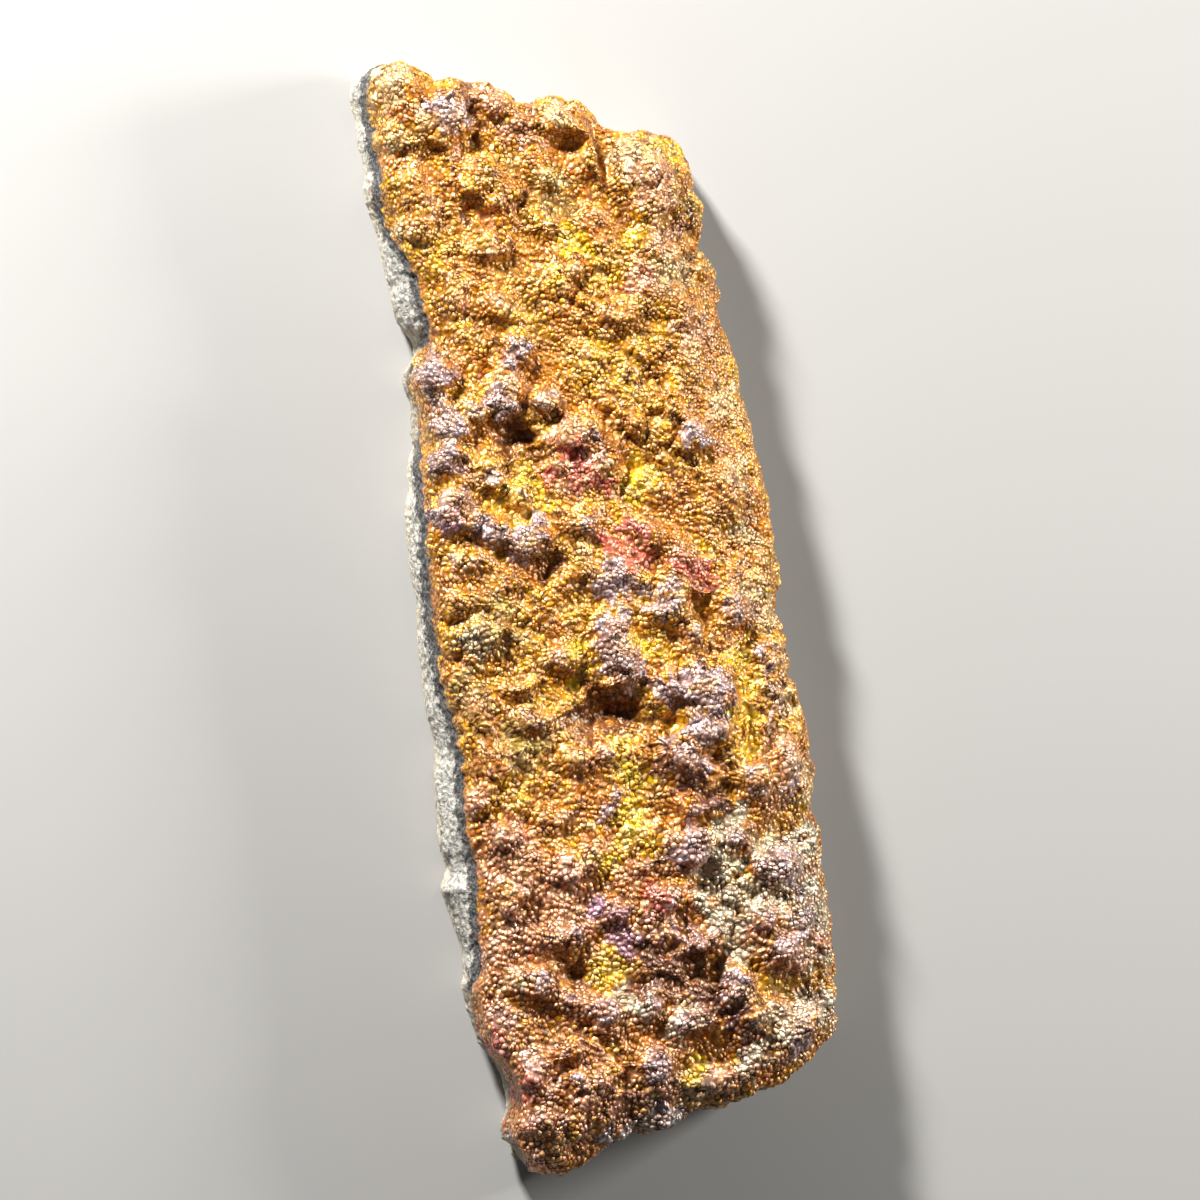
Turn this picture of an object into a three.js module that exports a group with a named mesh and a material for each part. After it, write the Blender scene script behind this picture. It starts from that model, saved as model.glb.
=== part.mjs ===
// Iridescent goethite: one slab broken out of a botryoidal crust, lying on its broken back.
//
// Millimetres. +X runs across the slab, +Y along it towards its slanting upper end, and +Z up out of the
// iridescent crust. The origin is on the surface that the slab lies on, under the middle of its box.
//
// The slab is one natural piece, so it is one closed solid in three zones that share their edges: the lumpy
// crust on top, the broken wall round it, and the rough back, which touches the bench on a few worn flats.
import * as THREE from "three";

// Driving dimensions
const CROWN_HEIGHT = 15.0; // the crust's general level above the bench, without its knobs
const MOST_DROP = 9.5; // the most that the crust's rim lies below that level
const SHOULDERS = {
  // How the crust rolls down to its rim: over this width, by this much
  left: { width: 2.5, drop: 1.2 },
  right: { width: 12.0, drop: 8.5 },
  lower: { width: 7.0, drop: 4.5 },
  upper: { width: 3.5, drop: 3.0 },
};
const CELLS_ACROSS = 34; // the crust's grid of facets
const CELLS_ALONG = 90;
const BACK_HOLLOW_DEPTH = 1.3; // the back's deepest hollows
const LUMP_SPACING = 4.4; // the small unnamed lumps between the knobs
const LUMP_HEIGHT = 0.8;
const SWELL_HEIGHT = 0.7; // the slow rise and fall of the whole crust
const WALL_ROUGHNESS = 0.45;

// The crust's rim in plan, x and y, going round from its lower left corner
const LEFT_RIM = [
  [-21.6, -70.4], [-23.3, -69], [-23.6, -68], [-22.3, -66.5], [-21.4, -63.5], [-21.6, -61],
  [-22.9, -58.8], [-24.5, -56.5], [-25.4, -52], [-25.4, -48.5], [-24.1, -47.5], [-23.7, -44.5],
  [-23.3, -40.5], [-22.9, -37], [-22.4, -32.5], [-22.9, -25.5], [-22.4, -21.5], [-22.7, -18.5],
  [-22.3, -14.5], [-23.1, -11], [-23.4, -6.5], [-23.7, -0.5], [-23.2, 9], [-22.1, 13],
  [-22.1, 20.5], [-21.2, 24.5], [-21.3, 28.5], [-21.8, 31.5], [-20.5, 34.5], [-19, 36.3],
  [-17.8, 38], [-18.4, 41.5], [-19, 46], [-20.3, 49.5], [-21.7, 53], [-22.1, 58.5],
  [-22.1, 64.5], [-22, 68.5], [-22.5, 70.5], [-21.9, 72.5],
];
const RIGHT_RIM = [
  [24.3, -60.4], [23.9, -57], [24.5, -53.5], [25, -47.5], [24.6, -44.5], [25, -39.5],
  [25.3, -35], [24.5, -32.5], [24.9, -28.5], [25.5, -25.5], [25.3, -19], [24.6, -15],
  [24.2, -9.5], [23.8, -6.5], [24.4, -1.5], [24.6, 5.5], [24.4, 8.5], [24.9, 11.5],
  [24.6, 16.5], [23.7, 21], [23.4, 28.5], [22.6, 31.5], [21.7, 34.5], [21.3, 41],
  [20.4, 44], [19.8, 45.5], [20.6, 47], [21, 48.5], [20.6, 53.5], [20.9, 55.5], [19.4, 59.2],
];
const LOWER_RIM = [
  [-21.6, -70.4], [-19.9, -73.2], [-18.6, -74], [-15.8, -74], [-13.8, -73.3], [-10.8, -71.7],
  [-7.8, -70.9], [-6.6, -70], [-3.3, -70.8], [-0.8, -70.3], [2.2, -69], [6.2, -68.6],
  [10.7, -67.1], [12.7, -67.7], [15.7, -66.8], [16.7, -65.7], [19.2, -64.4], [21.7, -62.5],
  [24.3, -60.4],
];
const UPPER_RIM = [
  [-21.9, 72.5], [-20.8, 73.3], [-19.3, 74], [-16.5, 73.4], [-14.8, 72.3], [-14, 71],
  [-10.5, 70.8], [-8.5, 70.8], [-6.5, 69.4], [-5, 69.5], [-3, 66.8], [0.5, 66.4],
  [3.5, 66.4], [5, 65.7], [8, 63.6], [8.6, 62.2], [10, 61.6], [12, 60.7], [14, 61.4],
  [16.5, 60.4], [18.4, 59.7], [19.4, 59.2],
];
// How far the left wall's belly stands outside the rim above it: y and the distance
const LEFT_FLARE = [
  [-68, -0.6], [-56, -1], [-50, -0.7], [-47.5, 1], [-44, 1.4], [-40, 2.8], [-37, 3.6],
  [-35, 4.6], [-33, 2.9], [-30, 3.7], [-25, 3.1], [-20, 3], [-17, 2.1], [-14, 2.3], [-6, 1.4],
  [0, 0.6], [4, 0.3], [8, 0.8], [12, 1.6], [16, 1.3], [20, 0], [31, -0.8], [35, -0.6],
  [37, 0.6], [38.5, 2.9], [44, 3.2], [48.5, 2.4], [53, 0.6], [58.5, 1.3], [66, 0.2], [71, 0.6],
];
const OTHER_FLARE = 0.4;

// Knobs that stand out of the crust: x, y, half width, half length, height, and turn in degrees
const UPPER_KNOBS = [
  [-17.5, 67.5, 5.6, 6.8, 1.2, 5],
  [-19.8, 71.6, 3.2, 3.2, 1.4, 0], [-12, 68, 3.1, 3.6, 2.1, 15], [-6.8, 68.4, 2.2, 2.2, 1.3, 0],
  [-3, 64.5, 2.8, 2.6, 0.8, 0], [2.2, 64.8, 4, 3, 2, -10], [5.3, 59, 1.6, 4.2, 1.6, 10],
  [-1, 58.5, 1.5, 4.5, 0.9, -15], [12.5, 55.5, 5.6, 6, 1.8, 0], [18.3, 50.5, 1.6, 4, 0.9, 10],
  [-20, 66.5, 1.9, 3.6, 0.8, 0], [-18.3, 58.5, 2.2, 5.5, 1, 5], [-10, 57.5, 4.2, 2.8, 1.4, 0],
  [-8.6, 55, 4, 1.5, 1.1, 10], [-19, 52.5, 2, 3, 0.9, 0], [-10, 48.6, 3.5, 2.4, 1.2, 0],
  [-2, 50.5, 2.8, 2, 0.9, 0], [4.5, 49, 3.4, 3, 0.8, 0], [12, 45.5, 4, 3.2, 0.8, 0],
  [-10.5, 41, 3, 2.4, 0.9, 0], [2, 39.8, 1.4, 1.4, 1.2, 0], [6, 37.5, 3, 2.2, 0.9, 0],
  [-3, 43, 3.4, 2.2, 0.8, 0], [15.5, 37.5, 3.6, 3, 0.7, 0], [-16, 44, 2, 3.5, 0.7, 0],
];
const MIDDLE_KNOBS = [
  [-20.3, 32.5, 3, 2.5, 1.6, 0], [-8.6, 34.2, 2.6, 2.2, 1.8, 0], [-10.5, 29.5, 2.1, 3.6, 1.5, 0],
  [-6, 27.5, 2.4, 2, 1.4, 0], [-19, 25.5, 3, 1.6, 1, 0], [-20, 21, 3, 2.4, 1.2, 0],
  [-15, 27.5, 2, 2.5, 1, 0], [-2, 22, 3.5, 2.2, 1.7, 0], [1.6, 19.2, 2.6, 2.2, 1.6, 0],
  [-5.5, 18.5, 2.2, 1.2, 1, 0], [1, 17, 3, 1.5, 1.2, 0], [5.5, 23, 2.2, 1.4, 0.9, 0],
  [11, 25, 2.2, 2, 1, 0], [14, 20.3, 1.8, 2, 1, 0], [-15, 18.6, 2.6, 2.2, 1.3, 0],
  [-19, 15, 3.4, 3.6, 1.9, 0], [-11, 14.6, 1.6, 1.4, 1.4, 0], [-15, 11, 2.5, 2, 1.2, 0],
  [-10.6, 9.4, 3, 3, 2.1, 0], [-3, 11, 3.8, 2.4, 1.3, 0], [6, 7.5, 2.2, 2.2, 0.9, 0],
  [9.5, 5, 2.2, 1.8, 1, 0], [-7, 2.5, 2.5, 1.6, 1, 0], [-19, 7.5, 3, 1.5, 0.9, 0],
  [-20, 2.5, 3.4, 1.8, 1, 0], [-14, 4.5, 3, 1.8, 1.1, 0], [-18, -1.5, 3.8, 2.2, 1.2, 0],
  [-0.3, -6.5, 2.5, 4.8, 2.4, 5], [-1, -11.6, 3.6, 1.4, 1.5, 8], [-8, -7, 3, 2.3, 1.4, 0],
  [-14.5, -10, 2.2, 1.3, 1, 0], [-14, -14.5, 3.2, 1.9, 1.2, 0], [7, -2.5, 3.5, 2.4, 1.2, 0],
  [10, -6, 1.9, 3.6, 1.4, -10], [5, -6.5, 2, 2, 0.9, 0], [5.3, -12.5, 2.1, 2.8, 1.4, 0],
  [11, -15, 3.9, 5.6, 2.6, -8], [13.6, -14, 1.6, 3.6, 1.6, 0], [20.5, -10.5, 2.2, 2, 1.2, 0],
  [21.5, -16, 2, 2, 1.1, 0], [15.5, -3.5, 2.2, 3, 1, 0], [18, 12, 3, 5, 0.8, 0],
];
const LOWER_KNOBS = [
  [-19, -18.5, 3, 2, 0.9, 0], [-9.5, -20.3, 2.2, 1.4, 1, 0], [-4, -20, 3, 1.5, 0.9, 0],
  [6, -22, 3.1, 3.6, 1.8, 0], [11.5, -23.5, 2.2, 1.6, 1, 25], [15.5, -26, 2.4, 2.5, 1.5, 0],
  [6.5, -29, 3.2, 1.6, 1.3, 0], [21, -25.5, 2.5, 4, 1.1, 0], [-13, -28, 3, 1.5, 1, 0],
  [-19, -29.5, 3, 2, 1.1, 0], [6, -34.5, 3.4, 2.3, 1.9, -15], [11.5, -34, 2.4, 1.9, 1, 0],
  [-18, -33.5, 3, 2.5, 1.2, 0], [-10, -34.5, 4.6, 2.2, 1.7, 5], [-20, -38, 2.6, 2, 1.3, 0],
  [-1, -35.5, 3, 1.5, 1, 0], [1, -40.3, 2.8, 1.5, 1, 15], [-6, -41.5, 3, 2, 1, 0],
  [17, -38.5, 4.2, 3, 1.4, 30], [20, -45.5, 3, 4, 1, 0], [14, -45, 3, 2.5, 1, 0],
  [-14, -43.5, 5, 1.7, 1.2, 0], [-19, -48.5, 4, 2.5, 1.5, 0], [-13.6, -52, 2.4, 1.6, 1, 0],
  [5, -47, 3, 1.6, 1.6, 0], [1.5, -49.3, 2, 1.8, 1.2, 0], [-10, -54, 2.6, 2.2, 1.6, 0],
  [-3.5, -54.5, 2.1, 2.5, 1.4, 0], [10, -53.5, 2.2, 2.6, 1.7, 0], [10.7, -57.5, 1.8, 2, 1.3, 0],
  [2.2, -57.1, 3.4, 1.9, 1.8, 10], [16, -49.5, 2.2, 2.4, 1.3, 0], [18.5, -60, 4, 2.4, 1, 25],
  [-4, -62.5, 3, 2.2, 1.3, 0], [-10, -63, 2.4, 2, 0.6, 0], [-14.5, -63, 3, 2.7, 1.6, 0],
  [-20.5, -60.5, 2.2, 2.2, 1, 0], [-15, -58.7, 4, 1.5, 1.1, 0], [-19, -68, 4, 1.6, 0.9, 0],
  [8, -66.5, 4, 2, 1, 15],
];
// Hollows, grooves and the drops under the knobs' lower edges: as the knobs, with a depth in place of height
const HOLLOWS = [
  [-10.6, 64.6, 1.4, 1.2, 1.4, 0], [-10.6, 62.2, 2.6, 1.2, 1.6, 0], [-9.8, 66.8, 1.2, 5, 2.2, -8],
  [1.4, 60.4, 3.4, 2, 2, 0], [7.2, 60, 1.3, 5, 1.3, 0], [-12.6, 54, 2, 1, 2.3, -10],
  [-10.5, 53.4, 1.6, 0.9, 1.4, 0], [-16.6, 60, 1.3, 4, 1.1, -10],
  [-17.6, 50.2, 1.2, 2, 1, 0], [-8, 46.3, 3.2, 1.1, 0.9, 0], [18.3, 45.8, 2.2, 1.6, 1, 0],
  [-10, 22.8, 4.4, 1.7, 2.3, -12], [-4.3, 31, 2.1, 2.2, 1.3, 0], [-20, 30.2, 3, 0.9, 0.8, 0],
  [-4.5, 19.9, 3, 0.9, 1.2, 0], [5, 17.6, 3, 1, 1.2, 10], [-16.6, 15, 1.1, 2.6, 1.1, 0],
  [-11, 12.6, 1.9, 0.8, 1, 0],
  [-9.8, 5.9, 2.8, 1.3, 2, 0], [1, 7, 3.6, 2.8, 0.8, 0], [-2.4, -15, 4.6, 2.6, 2.8, 5],
  [-8.5, -10.3, 3, 1.1, 1.2, 0], [11.7, -4.5, 1, 4.2, 1.1, 10], [16.2, -17, 1.7, 8, 1.5, -5],
  [17.2, -7.2, 2.4, 1, 0.9, 0], [10.5, -27.8, 2.5, 1.4, 1.2, 0], [6.3, -36.9, 3, 0.9, 1.3, 0],
  [18, -33.4, 5, 1.2, 1.1, 20], [-11, -37.3, 4.5, 0.9, 1.3, 5], [12.5, -41.5, 3.4, 0.8, 1.1, 28],
  [-17.5, -39, 1.4, 1.2, 1.1, 0], [-12.9, -48.3, 1.9, 1.7, 2.8, 0], [-7, -50, 2.6, 2.6, 0.9, 0],
  [6, -50.2, 3.4, 1.6, 1.9, 0], [-18.6, -53.1, 2.8, 1, 1.6, 0], [16, -54.5, 4, 3, 1.2, 0],
  [18.9, -21.8, 1.2, 0.9, 1.2, 0],
  [3.5, -60.1, 3.4, 1, 1.3, 0], [4.5, -62.8, 4.8, 2, 1.5, 0], [-16, -46.2, 5, 0.8, 1, 0],
  [-17, -60.4, 4, 0.8, 0.8, 0],
];
// The step across the middle of the crust: the part above this line, from x to x, lies higher
const STEP = { from: [-7.5, 4.2], to: [10.5, -1], rise: 0.8, fade: 9 };

// A fixed pseudo-random number from 0 to 1 for a cell of a grid
function chance(i, j, salt) {
  const mixed = Math.sin(i * 127.1 + j * 311.7 + salt * 74.7) * 43758.5453;
  return mixed - Math.floor(mixed);
}

const ease = (t) => t * t * (3 - 2 * t);
const clamp = (v, low, high) => Math.min(high, Math.max(low, v));

// Smooth noise from 0 to 1, with this distance between its peaks
function swell(x, y, spacing, salt) {
  const i = Math.floor(x / spacing);
  const j = Math.floor(y / spacing);
  const fx = ease(x / spacing - i);
  const fy = ease(y / spacing - j);
  const low = chance(i, j, salt) * (1 - fx) + chance(i + 1, j, salt) * fx;
  const high = chance(i, j + 1, salt) * (1 - fx) + chance(i + 1, j + 1, salt) * fx;
  return low * (1 - fy) + high * fy;
}

// The highest of the small domes scattered one to a cell, from 0 to 1
function smallLumps(x, y) {
  const i = Math.floor(x / LUMP_SPACING);
  const j = Math.floor(y / LUMP_SPACING);
  let highest = 0;
  for (let a = i - 1; a <= i + 1; a++)
    for (let b = j - 1; b <= j + 1; b++) {
      const dx = x - (a + chance(a, b, 1)) * LUMP_SPACING;
      const dy = y - (b + chance(a, b, 2)) * LUMP_SPACING;
      const reach = LUMP_SPACING * (0.7 + 0.45 * chance(a, b, 3));
      const dome = 1 - (dx * dx + dy * dy) / (reach * reach);
      highest = Math.max(highest, dome * (0.5 + 0.5 * chance(a, b, 4)));
    }
  return highest;
}

// The height of the highest of these turned domes over x, y
function domes(list, x, y) {
  let highest = 0;
  for (const [cx, cy, halfWidth, halfLength, height, turn] of list) {
    const dx = x - cx;
    const dy = y - cy;
    if (Math.abs(dx) + Math.abs(dy) > 2 * (halfWidth + halfLength)) continue;
    const angle = THREE.MathUtils.degToRad(turn);
    const along = (dx * Math.cos(angle) + dy * Math.sin(angle)) / halfWidth;
    const across = (dy * Math.cos(angle) - dx * Math.sin(angle)) / halfLength;
    const share = 1 - (along * along + across * across) / 1.3;
    highest = Math.max(highest, height * share);
  }
  return highest;
}

const KNOBS = [...UPPER_KNOBS, ...MIDDLE_KNOBS, ...LOWER_KNOBS];

// How far the crust above the step lies higher, fading out up the slab and past the step's ends
function stepRise(x, y) {
  const [x0, y0] = STEP.from;
  const [x1, y1] = STEP.to;
  const line = y0 + ((x - x0) / (x1 - x0)) * (y1 - y0);
  const above = y - line;
  const sideFade = clamp(1 - Math.max(x0 - x, x - x1) / 3, 0, 1);
  if (above < 0 || above > STEP.fade) return 0;
  return STEP.rise * sideFade * (1 - ease(above / STEP.fade));
}

// How far the crust stands out of its smooth form at a point in plan
function crustRelief(x, y) {
  return (
    domes(KNOBS, x, y) -
    domes(HOLLOWS, x, y) +
    LUMP_HEIGHT * smallLumps(x, y) +
    SWELL_HEIGHT * (2 * swell(x, y, 21, 5) - 1) +
    stepRise(x, y)
  );
}

// The point at a share of the way along a line of points
function along(points, share) {
  const lengths = [0];
  for (let i = 1; i < points.length; i++) {
    const [ax, ay] = points[i - 1];
    const [bx, by] = points[i];
    lengths.push(lengths[i - 1] + Math.hypot(bx - ax, by - ay));
  }
  const wanted = share * lengths[lengths.length - 1];
  let i = 1;
  while (i < points.length - 1 && lengths[i] < wanted) i++;
  const part = (wanted - lengths[i - 1]) / (lengths[i] - lengths[i - 1]);
  const [ax, ay] = points[i - 1];
  const [bx, by] = points[i];
  return [ax + (bx - ax) * part, ay + (by - ay) * part];
}

// The value at a place in a list of pairs of place and value
function valueAt(pairs, place) {
  if (place <= pairs[0][0]) return pairs[0][1];
  for (let i = 1; i < pairs.length; i++) {
    const [a, low] = pairs[i - 1];
    const [b, high] = pairs[i];
    if (place <= b) return low + ((high - low) * (place - a)) / (b - a);
  }
  return pairs[pairs.length - 1][1];
}

// A point in plan inside the rim: u from left to right and v from the lower to the upper end
function planPoint(u, v) {
  const left = along(LEFT_RIM, v);
  const right = along(RIGHT_RIM, v);
  const lower = along(LOWER_RIM, u);
  const upper = along(UPPER_RIM, u);
  const corners = [LOWER_RIM[0], LOWER_RIM.at(-1), UPPER_RIM[0], UPPER_RIM.at(-1)];
  return [0, 1].map(
    (k) =>
      (1 - u) * left[k] + u * right[k] + (1 - v) * lower[k] + v * upper[k] -
      (1 - u) * (1 - v) * corners[0][k] - u * (1 - v) * corners[1][k] -
      (1 - u) * v * corners[2][k] - u * v * corners[3][k],
  );
}

// Turns an even walk across a section with a rounded shoulder at each end into the share of its plan width
// and how far it has dropped there
function overShoulders(walk, before, after, width) {
  const arc = (s) => 0.5 * Math.PI * Math.sqrt((s.width ** 2 + s.drop ** 2) / 2);
  const flat = width - before.width - after.width;
  const total = arc(before) + flat + arc(after);
  const gone = walk * total;
  if (gone < arc(before)) {
    const angle = (0.5 * Math.PI * (arc(before) - gone)) / arc(before);
    return [(before.width * (1 - Math.sin(angle))) / width, before.drop * (1 - Math.cos(angle))];
  }
  if (gone > total - arc(after)) {
    const angle = (0.5 * Math.PI * (gone - total + arc(after))) / arc(after);
    return [1 - (after.width * (1 - Math.sin(angle))) / width, after.drop * (1 - Math.cos(angle))];
  }
  return [(before.width + gone - arc(before)) / width, 0];
}

const MEAN_WIDTH = 46;
const MEAN_LENGTH = 138;

// The crust's smooth form: a point of it, from the shares of the walk across and along
function smoothCrust(walkAcross, walkAlong) {
  const [u, dropAcross] = overShoulders(walkAcross, SHOULDERS.left, SHOULDERS.right, MEAN_WIDTH);
  const [v, dropAlong] = overShoulders(walkAlong, SHOULDERS.lower, SHOULDERS.upper, MEAN_LENGTH);
  const [x, y] = planPoint(u, v);
  const kept = (1 - dropAcross / MOST_DROP) * (1 - dropAlong / MOST_DROP);
  return new THREE.Vector3(x, y, CROWN_HEIGHT - MOST_DROP * (1 - kept));
}

// A point of the finished crust: its relief stands along the smooth form's own normal
function crustPoint(i, j) {
  const a = i / CELLS_ACROSS;
  const b = j / CELLS_ALONG;
  const step = 0.004;
  const point = smoothCrust(a, b);
  const across = smoothCrust(Math.min(1, a + step), b).sub(smoothCrust(Math.max(0, a - step), b));
  const up = smoothCrust(a, Math.min(1, b + step)).sub(smoothCrust(a, Math.max(0, b - step)));
  const normal = across.cross(up).normalize();
  const onRim = i === 0 || j === 0 || i === CELLS_ACROSS || j === CELLS_ALONG;
  const relief = crustRelief(point.x, point.y) * (onRim ? 0.55 : 1);
  return point.addScaledVector(normal, relief);
}

// The back's height over the bench: worn flats at 0 with shallow hollows between them
const FLAT_MIDDLES = [[0, 0, 13], [-4, 52, 10], [3, -50, 11]]; // x, y and radius of the flats that bear the slab
function backHeight(x, y) {
  const hollow = BACK_HOLLOW_DEPTH * (2.2 * swell(x, y, 9, 11) - 0.75);
  const clear = Math.min(...FLAT_MIDDLES.map(([cx, cy, r]) => Math.hypot(x - cx, y - cy) / r));
  return Math.max(0, hollow * ease(clamp(2 * (clear - 1), 0, 1)));
}

// The wall's outline from the rim down to the bench: share of the way down, and share of the flare
const WALL_ROWS = [
  [0.2, 0.45], [0.45, 0.95], [0.75, 0.8],
];
const UNDERCUT = 1.3; // how far the back's edge lies inside the belly

// The faces as indices into one list of points
class Shell {
  constructor() {
    this.positions = [];
    this.faces = [];
  }
  point(vector) {
    this.positions.push(vector);
    return this.positions.length - 1;
  }
  triangle(a, b, c) {
    this.faces.push(a, b, c);
  }
  // A four-sided facet, cut along its shorter diagonal
  quad(a, b, c, d) {
    const [A, B, C, D] = [a, b, c, d].map((k) => this.positions[k]);
    if (A.distanceTo(C) < B.distanceTo(D)) {
      this.triangle(a, b, c);
      this.triangle(a, c, d);
    } else {
      this.triangle(b, c, d);
      this.triangle(b, d, a);
    }
  }
}

// Indices of a grid's border, going round it against the clock as seen from above
function borderOf(grid) {
  const rows = grid.length - 1;
  const last = grid[0].length - 1;
  const border = [];
  for (let i = 0; i < last; i++) border.push(grid[0][i]);
  for (let j = 0; j < rows; j++) border.push(grid[j][last]);
  for (let i = last; i > 0; i--) border.push(grid[rows][i]);
  for (let j = rows; j > 0; j--) border.push(grid[j][0]);
  return border;
}

function addCrust(shell) {
  const grid = [];
  for (let j = 0; j <= CELLS_ALONG; j++) {
    grid.push([]);
    for (let i = 0; i <= CELLS_ACROSS; i++) grid[j].push(shell.point(crustPoint(i, j)));
  }
  for (let j = 0; j < CELLS_ALONG; j++)
    for (let i = 0; i < CELLS_ACROSS; i++)
      shell.quad(grid[j][i], grid[j][i + 1], grid[j + 1][i + 1], grid[j + 1][i]);
  return grid;
}

// The direction out of the slab in plan at each point of its border, evened out over its neighbours
function outwards(shell, border) {
  const reach = 3;
  return border.map((_, k) => {
    const before = shell.positions[border[(k - reach + border.length) % border.length]];
    const after = shell.positions[border[(k + reach) % border.length]];
    return new THREE.Vector3(after.y - before.y, before.x - after.x, 0).normalize();
  });
}

// How far the wall's belly stands outside the rim at this point
function flareAt(point, out) {
  const facesLeft = clamp(-out.x * 1.6 - 0.4, 0, 1);
  return facesLeft * valueAt(LEFT_FLARE, point.y) + (1 - facesLeft) * OTHER_FLARE;
}

function addWall(shell, border) {
  const outs = outwards(shell, border);
  let above = border;
  for (const [down, flareShare] of WALL_ROWS) {
    const row = border.map((index, k) => {
      const rim = shell.positions[index];
      const rough = WALL_ROUGHNESS * (2 * swell(rim.y + 2 * rim.x, 60 * down, 3.4, 7) - 1);
      const out = flareAt(rim, outs[k]) * flareShare + rough;
      return shell.point(rim.clone().addScaledVector(outs[k], out).setZ(rim.z * (1 - down)));
    });
    for (let k = 0; k < border.length; k++) {
      const next = (k + 1) % border.length;
      shell.quad(above[k], row[k], row[next], above[next]);
    }
    above = row;
  }
  return { ring: above, outs };
}

// The back is a grid half as fine as the crust's, so each of its border's steps meets two of the wall's
function addBack(shell, grid, wall) {
  const half = (list) => list.filter((_, k) => k % 2 === 0);
  const coarse = half(grid).map(half);
  const border = borderOf(grid);
  const edgeOf = new Map(border.map((index, k) => [index, k]));
  const back = coarse.map((row) =>
    row.map((index) => {
      const top = shell.positions[index];
      const k = edgeOf.get(index);
      if (k === undefined) return shell.point(new THREE.Vector3(top.x, top.y, backHeight(top.x, top.y)));
      const inwards = flareAt(top, wall.outs[k]) - UNDERCUT;
      const foot = top.clone().addScaledVector(wall.outs[k], inwards);
      return shell.point(foot.setZ(backHeight(foot.x, foot.y)));
    }),
  );
  for (let j = 0; j < back.length - 1; j++)
    for (let i = 0; i < back[0].length - 1; i++)
      shell.quad(back[j][i], back[j + 1][i], back[j + 1][i + 1], back[j][i + 1]);
  const foot = borderOf(back);
  const count = wall.ring.length;
  foot.forEach((low, k) => {
    const next = foot[(k + 1) % foot.length];
    const [a, b, c] = [2 * k, 2 * k + 1, (2 * k + 2) % count].map((n) => wall.ring[n]);
    shell.triangle(a, low, b);
    shell.triangle(b, low, next);
    shell.triangle(b, next, c);
  });
}

// The whole slab as one closed surface, set down on the bench and centred on its own box
function slabGeometry() {
  const shell = new Shell();
  const grid = addCrust(shell);
  const wall = addWall(shell, borderOf(grid));
  addBack(shell, grid, wall);
  const geometry = new THREE.BufferGeometry();
  geometry.setAttribute(
    "position",
    new THREE.Float32BufferAttribute(shell.positions.flatMap((p) => [p.x, p.y, p.z]), 3),
  );
  geometry.setIndex(shell.faces);
  geometry.computeBoundingBox();
  const box = geometry.boundingBox;
  const middle = box.getCenter(new THREE.Vector3());
  geometry.translate(-middle.x, -middle.y, -box.min.z);
  geometry.computeVertexNormals();
  return geometry;
}

// Amber-gold with a metallic sheen, as the crust is over most of its face
const crustMaterial = new THREE.MeshStandardMaterial({
  color: new THREE.Color(0.72, 0.47, 0.16),
  roughness: 0.42,
  metalness: 0.6,
});

const slab = new THREE.Mesh(slabGeometry(), crustMaterial);
slab.name = "goethite_slab";

const specimen = new THREE.Group();
specimen.name = "iridescent_goethite";
specimen.add(slab);

export default specimen;
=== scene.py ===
# %% [markdown]
# # Iridescent goethite
# This mineral is a slab broken out of a crust. The crust grew as thousands of little balls packed side by
# side, which is called a botryoidal habit. A film thinner than a wavelength of light colours it gold,
# copper, pink and lilac. The broken wall down its left side shows the pale rock that it grew on.
#
# The CAD solid already has the slab's outline, knobs and hollows. It comes in as a fixed frame, and this
# lesson grows the fine surface on a copy of it.

import math

import bmesh
import bpy
import numpy as np
from mathutils import Matrix, Vector


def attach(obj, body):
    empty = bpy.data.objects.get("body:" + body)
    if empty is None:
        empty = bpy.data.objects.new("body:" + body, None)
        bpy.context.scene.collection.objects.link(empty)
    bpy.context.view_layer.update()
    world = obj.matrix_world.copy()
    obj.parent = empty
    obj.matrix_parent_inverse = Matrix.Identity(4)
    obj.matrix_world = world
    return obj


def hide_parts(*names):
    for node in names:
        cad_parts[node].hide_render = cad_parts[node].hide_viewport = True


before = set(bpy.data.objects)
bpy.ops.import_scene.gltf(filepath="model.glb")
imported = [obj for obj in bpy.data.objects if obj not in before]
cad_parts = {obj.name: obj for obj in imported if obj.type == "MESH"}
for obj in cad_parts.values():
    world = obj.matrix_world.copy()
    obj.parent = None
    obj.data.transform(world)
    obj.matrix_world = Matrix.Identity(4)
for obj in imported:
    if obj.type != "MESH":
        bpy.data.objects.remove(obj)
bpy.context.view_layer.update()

MM = 0.001
SLAB = "goethite_slab"

# %% [markdown]
# ## The view
# The photograph looks down on the crust, leaning a little towards the broken wall, with the slab turned in
# the picture. Two angles, one scale and the pixel of the slab's axis say where each point of the slab falls in
# the picture. The same numbers place the camera here and the patches of colour later, so the two can't drift
# apart.

# %% Where a point of the slab falls in the picture
PHOTO_SIDE = 1200
PHOTO_PX_PER_MM = 7.52
PHOTO_AXIS = (582.0, 603.0)  # the pixel on which the slab's own axis falls
LEAN = math.radians(14.0)
TURN = math.radians(8.2)


def in_photo(x, y, z):
    """The pixel of a point given in mm: how far across, and how far down."""
    across = x * math.cos(LEAN) + z * math.sin(LEAN)
    right = across * math.cos(TURN) - y * math.sin(TURN)
    up = across * math.sin(TURN) + y * math.cos(TURN)
    return PHOTO_AXIS[0] + PHOTO_PX_PER_MM * right, PHOTO_AXIS[1] - PHOTO_PX_PER_MM * up


print("the slab's origin falls on pixel", [round(v) for v in in_photo(0, 0, 0)])

# %% The camera
LENS_MM = 300.0
SENSOR_MM = 36.0
AIM = Vector((-1.36, 0.05, 15.5)) * MM

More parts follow.
